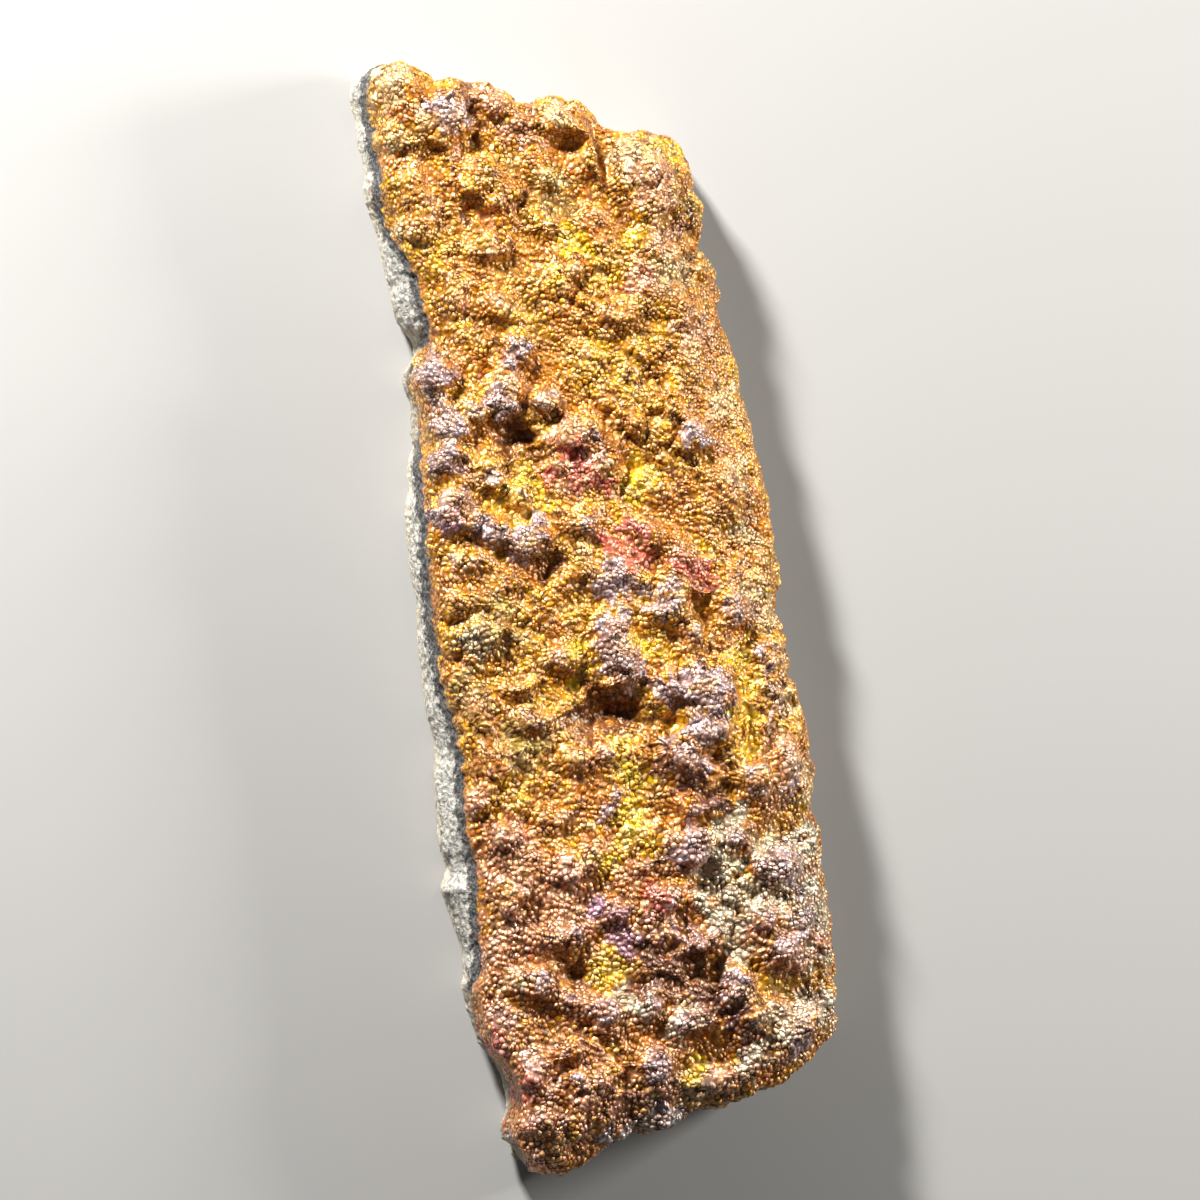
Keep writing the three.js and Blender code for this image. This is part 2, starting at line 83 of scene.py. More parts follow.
lean_axis = Vector((math.cos(LEAN), 0, math.sin(LEAN)))
along = Vector((0, 1, 0))
right = lean_axis * math.cos(TURN) - along * math.sin(TURN)
up = lean_axis * math.sin(TURN) + along * math.cos(TURN)
back = right.cross(up)
distance = PHOTO_SIDE / PHOTO_PX_PER_MM * MM * LENS_MM / SENSOR_MM

camera = bpy.data.objects.new("camera", bpy.data.cameras.new("camera"))
camera.data.lens = LENS_MM
camera.data.sensor_width = SENSOR_MM
turned = Matrix((right, up, back)).transposed().to_4x4()
camera.matrix_world = Matrix.Translation(AIM + back * distance) @ turned
bpy.context.scene.collection.objects.link(camera)
bpy.context.scene.camera = camera
print("camera stands off by", round(distance, 3), "m")

# %% [markdown]
# ## A smooth copy of the solid
# The solid has flat facets about a millimetre and a half across. Joining its triangles back into quads and
# subdividing them the Catmull-Clark way turns the facets into flowing lumps.

# %% Join the triangles into quads and subdivide
SPLIT_LEVELS = 1  # plain splits first, which keep the knobs' full height
SMOOTH_LEVELS = 2


def quad_copy(source):
    """A copy of a mesh with shared corners, made of quads where two triangles make one."""
    shape = bmesh.new()
    shape.from_mesh(source)
    bmesh.ops.remove_doubles(shape, verts=shape.verts, dist=0.002 * MM)
    bmesh.ops.join_triangles(
        shape,
        faces=shape.faces,
        angle_face_threshold=math.radians(70),
        angle_shape_threshold=math.radians(120),
    )
    mesh = bpy.data.meshes.new("smooth_slab")
    shape.to_mesh(mesh)
    shape.free()
    return mesh


def applied(piece):
    """The piece's mesh with its modifiers worked in."""
    bpy.context.view_layer.update()
    graph = bpy.context.evaluated_depsgraph_get()
    return bpy.data.meshes.new_from_object(
        piece.evaluated_get(graph), preserve_all_data_layers=True, depsgraph=graph
    )


slab = bpy.data.objects.new("goethite_specimen", quad_copy(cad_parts[SLAB].data))
bpy.context.scene.collection.objects.link(slab)
for title, levels, way in (("split", SPLIT_LEVELS, "SIMPLE"), ("smooth", SMOOTH_LEVELS, "CATMULL_CLARK")):
    finer = slab.modifiers.new(title, "SUBSURF")
    finer.subdivision_type = way
    finer.levels = finer.render_levels = levels
slab.data = applied(slab)
slab.modifiers.clear()
print(len(slab.data.polygons), "faces after smoothing")

# %% Read the points as arrays
count = len(slab.data.vertices)
place = np.zeros(count * 3, np.float32)
slab.data.vertices.foreach_get("co", place)
place = place.reshape(-1, 3)
facing = np.zeros(count * 3, np.float32)
slab.data.vertices.foreach_get("normal", facing)
facing = facing.reshape(-1, 3)
x, y, z = (place / MM).T
photo_x, photo_y = in_photo(x, y, z)


def keep(name, values, kind="FLOAT"):
    """Stores one value per point under a name that nodes can read."""
    layer = slab.data.attributes.new(name, kind, "POINT")
    slot = "vector" if kind == "FLOAT_VECTOR" else "value"
    layer.data.foreach_set(slot, np.asarray(values, np.float32).ravel())


def ease(low, high, values):
    """0 below low, 1 above high and a smooth rise between."""
    t = np.clip((values - low) / (high - low), 0, 1)
    return t * t * (3 - 2 * t)


print(count, "points")

# %% [markdown]
# ## Crust, wall and back
# Only the crust has the balls and the colours. Below it lies broken rock. On the left the crust ends at a
# sharp rim that shows in the picture, so a line of pixels says where. On the other sides the crust rolls
# over and ends lower down, at a height of its own on each side. A mask of 1 on the crust and 0 on the rock
# carries this to every later step.

# %% Where the crust ends
LEFT_RIM_PX = [  # the crust's left edge in the picture: how far down, and how far across
    (70, 371), (90, 368), (110, 368), (130, 372), (150, 374), (165, 378), (180, 382), (200, 379),
    (220, 384), (240, 392), (260, 408), (280, 416), (300, 420), (320, 428), (335, 430), (345, 423),
    (360, 412), (375, 408), (390, 408), (405, 414), (430, 418), (470, 420), (510, 424), (530, 428),
    (550, 426), (590, 429), (630, 432), (650, 436), (670, 440), (690, 442), (705, 448), (720, 452),
    (750, 460), (790, 463), (810, 463), (830, 466), (850, 472), (870, 475), (890, 477), (930, 477),
    (950, 480), (970, 480), (985, 474), (1000, 468), (1020, 474), (1040, 478), (1055, 484), (1070, 474),
]
RIM_WAVES = ((5.3, 0.1), (2.9, 0.12), (1.7, 0.1))  # length and height in mm, which make the edge ragged
LOW_WAVES = ((23, 0.8), (9.1, 0.5), (3.7, 0.3))
RIM_HEIGHTS = {"right": 5.2, "upper": 10.6, "lower": 8.8}
LOWEST_CRUST = 4.8
print("the left edge has", len(LEFT_RIM_PX), "places; the others end at these heights in mm:", RIM_HEIGHTS)

# %% Measure how far each point lies below the crust's edge


def wavy(waves, along):
    """A sum of sine waves, as a height in mm for each place along an edge."""
    return sum(high * np.sin(2 * math.pi * along / length + length) for length, high in waves)


rim_down, rim_across = np.array(LEFT_RIM_PX).T
rim_at = np.interp(photo_y, rim_down, rim_across)
left_depth = (rim_at - photo_x) / PHOTO_PX_PER_MM + wavy(RIM_WAVES, y)
weights = {
    "left": np.clip(-facing[:, 0], 0, 1) + ease(-4, 0, left_depth),
    "right": np.clip(facing[:, 0], 0, 1) * (x > 0),
    "upper": np.clip(facing[:, 1], 0, 1) * ease(40, 58, y),
    "lower": np.clip(-facing[:, 1], 0, 1) * ease(-50, -62, y),
}
low_edge = wavy(LOW_WAVES, x + y)
depths = {name: high + low_edge - z for name, high in RIM_HEIGHTS.items()}
depths["left"] = left_depth * 2.2
total = sum(weights.values()) + 1e-6
rock_depth = sum(weights[name] * depths[name] for name in weights) / total
rock_depth = np.where(total < 0.02, -5.0, rock_depth)
rock_depth = np.where(facing[:, 2] < -0.35, np.maximum(rock_depth, 6.0), rock_depth)
rock_depth = np.maximum(rock_depth, LOWEST_CRUST + low_edge - z)
crust = ease(0.45, -0.45, rock_depth)
keep("crust", crust)
keep("rock_depth", rock_depth)
print("share of the points on the crust:", round(float((crust > 0.5).mean()), 2))

# %% [markdown]
# ## Relief
# How far a point stands above the crust round it matters twice: the film is silvery on the crowns of the
# lumps, and the hollows are painted a darker golden brown, partly their own colour and partly painted shade;
# and the lumps look best a little steeper than the solid's facets could make them. A map of the crust's
# height in squares of a millimetre, blurred, gives the level round each point.

# %% The crust's own level, and the relief above it
MAP_STEP = 1.0  # mm
MAP_EDGE = 4.0  # mm of margin round the slab


def blurred(grid, reach):
    """The grid smoothed over this many squares in both directions."""
    steps = np.arange(-int(3 * reach), int(3 * reach) + 1)
    weight = np.exp(-0.5 * (steps / reach) ** 2)
    for axis in (0, 1):
        grid = np.apply_along_axis(np.convolve, axis, grid, weight / weight.sum(), "same")
    return grid


def level_round(reach):
    """The crust's mean height round each point, over this reach in mm."""
    size = [int((side.max() - side.min() + 2 * MAP_EDGE) / MAP_STEP) + 2 for side in (x, y)]
    column = (x - x.min() + MAP_EDGE) / MAP_STEP
    row = (y - y.min() + MAP_EDGE) / MAP_STEP
    heights, points = np.zeros(size), np.zeros(size)
    np.add.at(heights, (column.astype(int), row.astype(int)), z * crust)
    np.add.at(points, (column.astype(int), row.astype(int)), crust)
    mean = np.where(points > 0, heights / np.maximum(points, 1e-6), 0)
    share = blurred((points > 0) * 1.0, reach / MAP_STEP)
    level = blurred(mean, reach / MAP_STEP) / np.maximum(share, 0.02)
    i, j = (column - 0.5).astype(int), (row - 0.5).astype(int)
    u, v = column - 0.5 - i, row - 0.5 - j
    near = level[i, j] * (1 - v) + level[i, j + 1] * v
    far = level[i + 1, j] * (1 - v) + level[i + 1, j + 1] * v
    return near * (1 - u) + far * u


relief = (z - level_round(3.0)) * crust
relief = np.where(relief < 0, relief * ease(0.3, 0.75, facing[:, 2]), relief)  # a steep side isn't a hollow
broad_relief = (z - level_round(7.0)) * crust
keep("relief", relief)
print("relief in mm, from", round(float(relief.min()), 1), "to", round(float(relief.max()), 1))

# %% Make the lumps steeper and the hollows shallower
STEEPER = 0.7  # share of its own relief that a lump gains
SHALLOWER = 0.55  # share of its own depth that a hollow loses
MOST_MOVE = 1.2  # mm
HIGHEST = 17.3  # mm above the floor, which no lump is moved past

move = np.where(broad_relief > 0, STEEPER * broad_relief, -SHALLOWER * broad_relief)
move = np.minimum(np.clip(move, -MOST_MOVE, MOST_MOVE), np.maximum(HIGHEST - z, 0) * 0.7) * crust
place = place + np.column_stack([np.zeros(count), np.zeros(count), move * MM]).astype(np.float32)
slab.data.vertices.foreach_set("co", place.ravel())
slab.data.update()
print("moved by at most", round(float(np.abs(move).max()), 2), "mm")

# %% [markdown]
# ## Patches of colour
# The film's colour follows its thickness, so it changes in soft patches with ragged edges. The dark, deep and
# plum patches are partly the film's own dark colours and partly painted shade in pits, grooves and under
# lumps, and the cream patches along the right rim and flank are partly painted sheen. Each patch is one
# spot, placed by the pixel at its middle and its radius in pixels, and each colour becomes a mask on the
# points. Waves and noise break up the edges, so few spots are needed. The sides that the picture doesn't
# show get none.

# %% The spots of each colour
SPOTS = {
    # The cream spots along the right rim and on the right flank are partly the film's own cream and partly
    # painted sheen of the rolled flank.
    "cream": {
        "top corner": (388, 80, 22), "by the wall": (384, 104, 13), "by the wall low": (394, 142, 12),
        "by the wall end": (400, 232, 12), "by the notch": (418, 368, 13), "upper ledge": (560, 108, 20),
        "right rim high": (737, 468, 14),
        "right rim middle": (746, 530, 15), "right rim low": (756, 592, 14), "right bulge": (790, 660, 18),
        "low left": (520, 980, 16), "right edge": (800, 770, 16), "end right": (700, 1095, 20),
        "flank top": (815, 800, 16), "end edge near": (752, 1066, 18), "flank high": (722, 400, 14),
        "flank middle": (770, 620, 16), "channel side": (790, 700, 18), "swell": (640, 160, 34),
        "swell low": (672, 270, 26), "by the channel": (772, 740, 14),
    },
    "pearl": {
        "top": (730, 828, 24), "crowns": (778, 858, 32), "edge": (810, 850, 24), "slope": (720, 862, 20),
        "slope low": (712, 890, 24), "slope right": (742, 890, 24), "middle": (766, 902, 26),
        "right": (794, 884, 30), "flank": (814, 920, 26), "slope end": (730, 924, 24), "low": (737, 952, 20),
        "flank low": (818, 955, 22), "ridge": (788, 1026, 28), "ridge left": (758, 1048, 22),
        "ridge right": (822, 1010, 24), "low lump": (635, 1000, 24), "low lump right": (688, 1024, 24),
        "left lump": (478, 640, 16),
    },
    "silver": {
        "top lobe": (450, 110, 24), "left knob": (430, 375, 24), "middle knob": (512, 352, 20),
        "left ridge": (447, 428, 20), "left ridge low": (445, 458, 20), "knob below": (500, 408, 20),
        "right spot": (695, 434, 16), "dark lobe": (441, 510, 22), "lobe right": (488, 536, 20),
        "big lobe": (526, 540, 24), "step edge": (618, 582, 26), "step edge right": (662, 600, 20),
        "ridge top": (610, 630, 20), "ridge": (618, 660, 22), "ridge low": (626, 685, 18),
        "twin top": (668, 690, 20), "twin": (704, 690, 26), "twin low": (706, 725, 24),
        "below twin": (683, 762, 26), "spot": (608, 806, 14), "low knob": (690, 850, 24),
        "low middle": (693, 938, 20), "end": (730, 985, 16), "end right": (800, 1048, 14),
    },
    "pink": {
        "top left": (487, 98, 18), "top": (520, 126, 22), "swell": (652, 180, 30), "swell low": (664, 238, 20),
        "right": (640, 282, 18), "right low": (688, 330, 18), "middle": (565, 438, 22),
        "middle low": (580, 470, 32),
        "lower left": (515, 850, 34), "lower middle": (560, 895, 36), "left low": (530, 935, 34),
        "by the wall": (470, 800, 18), "by the wall low": (486, 870, 20), "lumps": (660, 920, 24),
        "by the wall end": (492, 960, 20), "flank low": (790, 960, 24), "corner": (500, 1020, 18),
        "grey right": (757, 930, 16), "edge right": (818, 938, 14), "end": (545, 1072, 24),
        "end edge": (720, 1080, 20), "right end": (774, 955, 18),
    },
    "rose": {
        "high": (632, 530, 18), "middle": (640, 555, 20), "right": (690, 566, 20), "edge": (704, 582, 14),
        "orange": (606, 548, 14), "low": (655, 905, 18),
        "upper": (564, 446, 14), "upper low": (580, 473, 16), "upper left": (549, 474, 11),
        "upper end": (598, 482, 12), "end": (522, 1088, 20), "corner": (492, 1042, 17),
    },
    "violet": {
        "middle": (605, 914, 20), "low": (628, 940, 18), "dark lobe": (458, 515, 18), "end": (480, 1075, 12),
    },
    "yellow": {
        "valley": (520, 478, 12), "valley left": (506, 492, 12), "valley right": (540, 492, 12),
        "top right": (672, 150, 16), "pool": (525, 495, 26), "pool right": (640, 480, 22),
        "channel top": (742, 655, 15), "channel": (746, 685, 15), "channel middle": (748, 715, 15),
        "channel low": (744, 748, 16), "upper field": (575, 245, 18),
        "streak top": (620, 742, 18), "streak": (632, 775, 18),
        "streak middle": (636, 808, 20), "streak low": (630, 838, 20), "streak end": (603, 862, 15),
        "lower pool": (604, 972, 24), "by the wall": (640, 650, 12), "low spot": (690, 1075, 16),
        "left of the ridge": (581, 655, 14), "left of the ridge low": (577, 680, 12),
    },
    "green": {
        "below ledge": (556, 178, 18), "hollow": (556, 208, 18), "edge": (694, 206, 14),
        "olive": (790, 975, 26),
        "left field": (486, 628, 34), "left field low": (520, 740, 34), "left field middle": (470, 690, 26),
    },
    # The plum spots are partly the film's own dark purple and partly painted shade on the lumps there.
    "plum": {
        "middle": (690, 782, 20), "middle right": (716, 796, 16), "middle left": (660, 768, 14),
        "low top": (652, 952, 18), "low": (672, 978, 24), "low right": (706, 992, 20),
        "low far": (738, 1014, 18), "low end": (746, 1040, 14), "low left": (640, 985, 14),
    },
    # The dark spots are partly the crust's own dark brown and partly painted shade in the pits and grooves and
    # below the lobes.
    "dark": {
        "groove top": (468, 94, 10), "groove": (472, 114, 10), "groove low": (476, 134, 8),
        "pit": (466, 211, 9), "right of lobe": (468, 512, 11), "hollow": (518, 440, 26),
        "big pit": (610, 709, 34), "big pit left": (585, 722, 24), "low pit": (575, 971, 15),
        "low hollow": (700, 968, 30),
        "end": (628, 1100, 20), "below lobe": (545, 565, 18), "right pit": (772, 742, 10),
    },
    # The deep spots make the biggest pits and the place under the knobs near-black: partly the crust's own
    # dark brown, partly painted shade.
    "deep": {
        "big pit": (614, 706, 20), "big pit left": (594, 716, 14), "under the knobs": (518, 438, 15),
        "low": (690, 966, 15),
    },
    "frost": {
        "tip": (498, 1134, 9), "end": (612, 1138, 12), "end middle": (640, 1129, 17),
        "end right": (662, 1120, 16),
        "end edge": (682, 1113, 11),
    },
}
print({name: len(spots) for name, spots in SPOTS.items()})

# %% Turn the spots into masks on the points
WAVES_PX = ((61, 4.5), (29, 3.5), (15, 2.5))  # length and height in pixels, which make the spots ragged

bent_x, bent_y = photo_x.copy(), photo_y.copy()
for length, high in WAVES_PX:
    bent_x += high * np.sin(2 * math.pi * (photo_y + 0.4 * photo_x) / length + length)
    bent_y += high * np.sin(2 * math.pi * (photo_x - 0.3 * photo_y) / length)
seen = ease(-0.05, 0.3, facing @ np.array(back, np.float32))  # 0 on the sides that the picture doesn't show


def spot_mask(spots):
    """1 at the middle of each spot, falling to 0 outside it."""
    mask = np.zeros(count)
    for across, down, radius in spots.values():
        away = np.hypot(bent_x - across, bent_y - down) / radius
        mask = np.maximum(mask, ease(1.5, 0.4, away))
    return mask * seen


SILVER_CROWNS = {  # the wide regions where the crowns of the lumps are silver
    "left of the middle": (480, 460, 130), "right of the middle": (680, 700, 130),
    "lower right": (740, 880, 130), "low": (640, 1000, 120), "step": (640, 600, 60),
}
crowns = ease(0.05, 0.75, relief) * (0.25 + 0.75 * spot_mask(SILVER_CROWNS))

masks = {name: spot_mask(spots) for name, spots in SPOTS.items()}
masks["silver"] = np.maximum(masks["silver"], crowns * 0.75)
for name, mask in masks.items():
    keep(name, mask)
lower_left = ease(770, 900, photo_y + 0.25 * (600 - photo_x)) * ease(800, 680, photo_x)
keep("copper", 0.8 * lower_left)
keep("coarse", 0.15 + 0.85 * ease(640, 860, photo_y))  # the balls are larger towards the lower end
shares = {name: round(float(mask.mean()), 3) for name, mask in masks.items()}
print("share of the points in each patch:", shares)

# %% [markdown]
# The silver and pink patches sit on lumps, and the dark and yellow ones in hollows, so the spots shape the
# surface a little too. The points' places are kept at this moment as an attribute. Every pattern below is
# read from them, so the balls in the mesh and their colours in the material agree.

# %% Raise the silver and pink lumps, and sink the dark and yellow hollows
LIFT = {"silver": 0.55, "pink": 0.35, "rose": 0.3, "dark": -0.4, "deep": -0.6, "yellow": -0.2}  # mm

lift = sum(high * spot_mask(SPOTS[name]) for name, high in LIFT.items()) * crust
place[:, 2] += lift * MM
slab.data.vertices.foreach_set("co", place.ravel())
slab.data.update()
keep("rest_place", place, "FLOAT_VECTOR")
print("lifted in mm, from", round(float(lift.min()), 2), "to", round(float(lift.max()), 2))

# %% [markdown]
# ## Nodes, wired from code
# Geometry nodes and shader nodes share most of their small parts, such as Math, Noise and Voronoi. So one
# short helper adds a node, sets it and joins its inputs, and the same function can build the balls in both.

# %% Helpers for adding nodes


def node(tree, kind, inputs=None, **settings):
    """Adds a node. Inputs given as sockets are joined, and the others are set."""
    made = tree.nodes.new(kind)
    for name, value in settings.items():
        setattr(made, name, value)
    for name, value in (inputs or {}).items():
        if isinstance(value, bpy.types.NodeSocket):
            tree.links.new(value, made.inputs[name])
        else:
            made.inputs[name].default_value = value
    return made


def sums(tree, operation, *values):
    """The result of a Math node."""
    return node(tree, "ShaderNodeMath", dict(enumerate(values)), operation=operation).outputs[0]


def spread(tree, value, low, high, to_low=0.0, to_high=1.0):
    """A value moved from one range to another, with soft ends."""
    settings = {"Value": value, "From Min": low, "From Max": high, "To Min": to_low, "To Max": to_high}
    return node(tree, "ShaderNodeMapRange", settings, interpolation_type="SMOOTHSTEP").outputs["Result"]


def noise(tree, where, size, detail=2.0, roughness=0.5):
    """Soft noise from 0 to 1 with bumps of this size in metres."""
    settings = {"Vector": where, "Scale": 1 / size, "Detail": detail, "Roughness": roughness}
    return node(tree, "ShaderNodeTexNoise", settings).outputs[0]


def mix(tree, factor, low, high):
    """A value between two others."""
    return node(tree, "ShaderNodeMix", {0: factor, 2: low, 3: high}).outputs[0]


print("helpers:", [helper.__name__ for helper in (node, sums, spread, noise, mix)])

# %% [markdown]
# ## Caps packed side by side
# The balls of such a crust press against each other, so only their tops show, with a crease between
# neighbours. A Voronoi texture scatters centres and gives the distance to the nearest one, and a circle's
# equation turns that distance into a cap. Three sizes are used: clusters, knuckles on the clusters, and
# balls on the knuckles.

# %% Caps packed side by side
CLUSTER = {"spacing": 4.0 * MM, "stand": 0.6}
KNUCKLE = {"spacing": 1.9 * MM, "stand": 0.6}
FINE_BALL = {"spacing": 0.62 * MM, "stand": 1.0}
COARSE_BALL = {"spacing": 0.72 * MM, "stand": 1.0}
LUMPS_MEAN = 2.6 * MM  # the height of clusters and knuckles together, on average
BALLS_MEAN = 0.5 * MM
CAP_RADIUS = 0.9  # in spacings, so that neighbours meet at a crease
CAP_WIDEST = 0.66  # in spacings, so that no gap between caps turns into a hole


def caps(tree, where, spacing, stand):
    """Round caps at this spacing: their height in metres, and the cells they stand on."""
    cells = node(tree, "ShaderNodeTexVoronoi", {"Vector": where, "Scale": 1 / spacing}, feature="F1")
    squared = sums(tree, "POWER", sums(tree, "MINIMUM", cells.outputs["Distance"], CAP_WIDEST), 2.0)
    height = sums(tree, "SQRT", sums(tree, "MAXIMUM", sums(tree, "SUBTRACT", CAP_RADIUS**2, squared), 0.0))
    return sums(tree, "MULTIPLY", height, spacing * stand), cells


def to_edge(tree, where, spacing):
    """How far each place lies from the crease round its ball, in spacings."""
    settings = {"Vector": where, "Scale": 1 / spacing}
    return node(tree, "ShaderNodeTexVoronoi", settings, feature="DISTANCE_TO_EDGE").outputs["Distance"]


def vectors(tree, operation, **inputs):
    """The result of a Vector Math node: a and b are its vectors, and by is its scale."""
    names = {"a": 0, "b": 1, "by": "Scale"}
    settings = {names[label]: value for label, value in inputs.items()}
    return node(tree, "ShaderNodeVectorMath", settings, operation=operation).outputs[0]


def bent(tree, where):
    """The place, pushed about a little so that no ball is quite round."""
    push = node(tree, "ShaderNodeTexNoise", {"Vector": where, "Scale": 1 / (2.4 * MM), "Detail": 1.0})
    centred = vectors(tree, "SUBTRACT", a=push.outputs["Color"], b=(0.5, 0.5, 0.5))
    return vectors(tree, "ADD", a=where, b=vectors(tree, "SCALE", a=centred, by=1.0 * MM))


def ball_strength(tree, relief_value):
    """Full on the lumps, and weaker down in the hollows, where the crust is smoother."""
    return spread(tree, relief_value, -1.0, 0.1, 0.45, 1.0)


print("ball spacings in mm:", [round(ball["spacing"] / MM, 2) for ball in (FINE_BALL, COARSE_BALL)])

# %% [markdown]
# ## Growing the balls
# Moving the points along their normals by the heights of the caps makes real mesh, so the balls show on the
# outline too. They stand lower in the hollows, where the crust is smoother, and the clusters are taller in
# some places than in others. The rock gets grains and small pits in place of balls.

# %% Geometry nodes that push the surface out
UNEVEN_SIZE = 14.0 * MM  # how far apart the taller places of the crust are
ROCK_GRAIN = 0.9 * MM


def named(tree, name, kind="FLOAT"):
    """The values that were kept under this name."""
    return node(tree, "GeometryNodeInputNamedAttribute", {"Name": name}, data_type=kind).outputs["Attribute"]


def growth_nodes():
    """A modifier's node tree that grows balls on the crust and grains on the rock."""
    tree = bpy.data.node_groups.new("grow_the_crust", "GeometryNodeTree")
    tree.interface.new_socket("Geometry", in_out="INPUT", socket_type="NodeSocketGeometry")
    tree.interface.new_socket("Geometry", in_out="OUTPUT", socket_type="NodeSocketGeometry")
    start = node(tree, "NodeGroupInput")
    end = node(tree, "NodeGroupOutput")
    where = named(tree, "rest_place", "FLOAT_VECTOR")
    bends = bent(tree, where)
    clusters, _ = caps(tree, bends, **CLUSTER)
    knuckles, _ = caps(tree, bends, **KNUCKLE)
    fine, _ = caps(tree, bends, **FINE_BALL)
    coarse, _ = caps(tree, bends, **COARSE_BALL)
    balls = mix(tree, named(tree, "coarse"), fine, coarse)
    lumpy = spread(tree, noise(tree, where, UNEVEN_SIZE, 1.0), 0.38, 0.62, 0.35, 1.35)
    lumps = sums(tree, "SUBTRACT", sums(tree, "ADD", clusters, knuckles), LUMPS_MEAN)
    strength = ball_strength(tree, named(tree, "relief"))
    low_balls = sums(tree, "MULTIPLY", sums(tree, "SUBTRACT", balls, BALLS_MEAN), strength)
    grown = sums(tree, "ADD", sums(tree, "MULTIPLY", lumps, lumpy), low_balls)
    grain = noise(tree, where, ROCK_GRAIN, 3.0, 0.6)
    grains = sums(tree, "MULTIPLY", sums(tree, "SUBTRACT", grain, 0.5), ROCK_GRAIN)
    height = mix(tree, named(tree, "crust"), grains, grown)
    normal = node(tree, "GeometryNodeInputNormal").outputs[0]
    offset = vectors(tree, "SCALE", a=normal, by=height)
    moved = node(tree, "GeometryNodeSetPosition", {"Geometry": start.outputs[0], "Offset": offset})
    tree.links.new(moved.outputs[0], end.inputs[0])
    return tree


growth = growth_nodes()
print(len(growth.nodes), "nodes grow the surface")

# %% Grow the surface
SOFT_TOP = 17.6 * MM  # above this height the crowns are pressed together
TOP_ROOM = 0.9 * MM  # the most that is left of them above it

slab.modifiers.new("grow", "NODES").node_group = growth
slab.data = applied(slab)
slab.modifiers.clear()
grown_place = np.zeros(count * 3, np.float32)
slab.data.vertices.foreach_get("co", grown_place)
height = grown_place[2::3]
above = np.maximum(height - SOFT_TOP, 0)
height = np.where(above > 0, SOFT_TOP + TOP_ROOM * (1 - np.exp(-above / TOP_ROOM)), np.maximum(height, 0))
grown_place[2::3] = height
slab.data.vertices.foreach_set("co", grown_place)
slab.data.update()
grown_low, grown_high = (Vector(v) for v in (slab.bound_box[0], slab.bound_box[6]))
print("box in mm after growing:", [round(v / MM, 1) for v in grown_high - grown_low])

# %% [markdown]
# ## Four bands
# One mesh of this part may hold 200,000 triangles, and the crust needs three times as many. The crust needs
# some 600,000 triangles, so the slab is finished as four bands along its length. Neighbours share the
# points of their border, and each band takes its normals from the whole slab, so no seam shows.

# %% Divide the mesh into bands along the slab
BANDS = [-80, -37, -1, 36, 80]  # y of their borders, in mm

slab.data.shade_smooth()
normals = np.zeros(count * 3, np.float32)
slab.data.vertices.foreach_get("normal", normals)
keep("whole_normal", normals, "FLOAT_VECTOR")


def band_nodes(low, high):
    """A modifier's node tree that leaves the faces with their middle between these two values of y."""
    tree = bpy.data.node_groups.new("band", "GeometryNodeTree")
    tree.interface.new_socket("Geometry", in_out="INPUT", socket_type="NodeSocketGeometry")
    tree.interface.new_socket("Geometry", in_out="OUTPUT", socket_type="NodeSocketGeometry")
    start = node(tree, "NodeGroupInput")
    end = node(tree, "NodeGroupOutput")
    middle = node(tree, "GeometryNodeInputPosition").outputs[0]
    at = node(tree, "ShaderNodeSeparateXYZ", {"Vector": middle}).outputs["Y"]
    inside = sums(tree, "MULTIPLY", sums(tree, "GREATER_THAN", at, low), sums(tree, "LESS_THAN", at, high))
    given = {"Geometry": start.outputs[0], "Selection": inside}
    cut = node(tree, "GeometryNodeSeparateGeometry", given, domain="FACE")
    tree.links.new(cut.outputs[0], end.inputs[0])
    return tree


bands = []
for number, (low, high) in enumerate(zip(BANDS, BANDS[1:]), 1):
    piece = bpy.data.objects.new(f"goethite_band_{number}", slab.data)
    bpy.context.scene.collection.objects.link(piece)
    piece.modifiers.new("band", "NODES").node_group = band_nodes(low * MM, high * MM)
    piece.data = applied(piece)
    piece.modifiers.clear()
    kept = np.zeros(len(piece.data.vertices) * 3, np.float32)
    piece.data.attributes["whole_normal"].data.foreach_get("vector", kept)
    piece.data.normals_split_custom_set_from_vertices(kept.reshape(-1, 3).tolist())
    bands.append(piece)
    print(piece.name, sum(len(p.vertices) - 2 for p in piece.data.polygons), "triangles")
bpy.data.objects.remove(slab)

# %% [markdown]
# ## The finish
# Each patch is mixed over amber gold through its mask, with noise added so that the edge is ragged. The tops
# of the balls are painted paler, a painted highlight where they catch the light, and the creases between them
# are painted dark brown, partly their own colour and partly painted shade. Those two come from the same
# Voronoi cells as the mesh, so they sit exactly in its creases. A bump adds back the sharpness that the
# triangles are too large to hold.

# %% Colours, as a screen shows them


def colour(red, green, blue):
    """A colour from screen values of 0 to 255, as light."""
    screen = [value / 255 for value in (red, green, blue)]
    return (*(v / 12.92 if v <= 0.04045 else ((v + 0.055) / 1.055) ** 2.4 for v in screen), 1.0)


AMBER = colour(222, 134, 16)
GOLD = colour(244, 178, 40)
FILM = {
    "copper": colour(222, 144, 74),
    "green": colour(200, 168, 88),
    "cream": colour(244, 208, 142),
    "pearl": colour(230, 220, 186),
    "pink": colour(250, 178, 132),
    "silver": colour(190, 172, 182),
    "violet": colour(204, 154, 182),
    "yellow": colour(255, 202, 26),
    "rose": colour(254, 132, 116),
    # plum, dark and deep are partly the film's own dark colours and partly painted shade in pits, grooves and
    # under lumps.
    "plum": colour(104, 66, 60),
    "dark": colour(136, 82, 28),
    "deep": colour(88, 50, 18),
    "frost": colour(200, 198, 196),
}
PEACH = colour(246, 188, 112)
LILAC = colour(224, 172, 156)
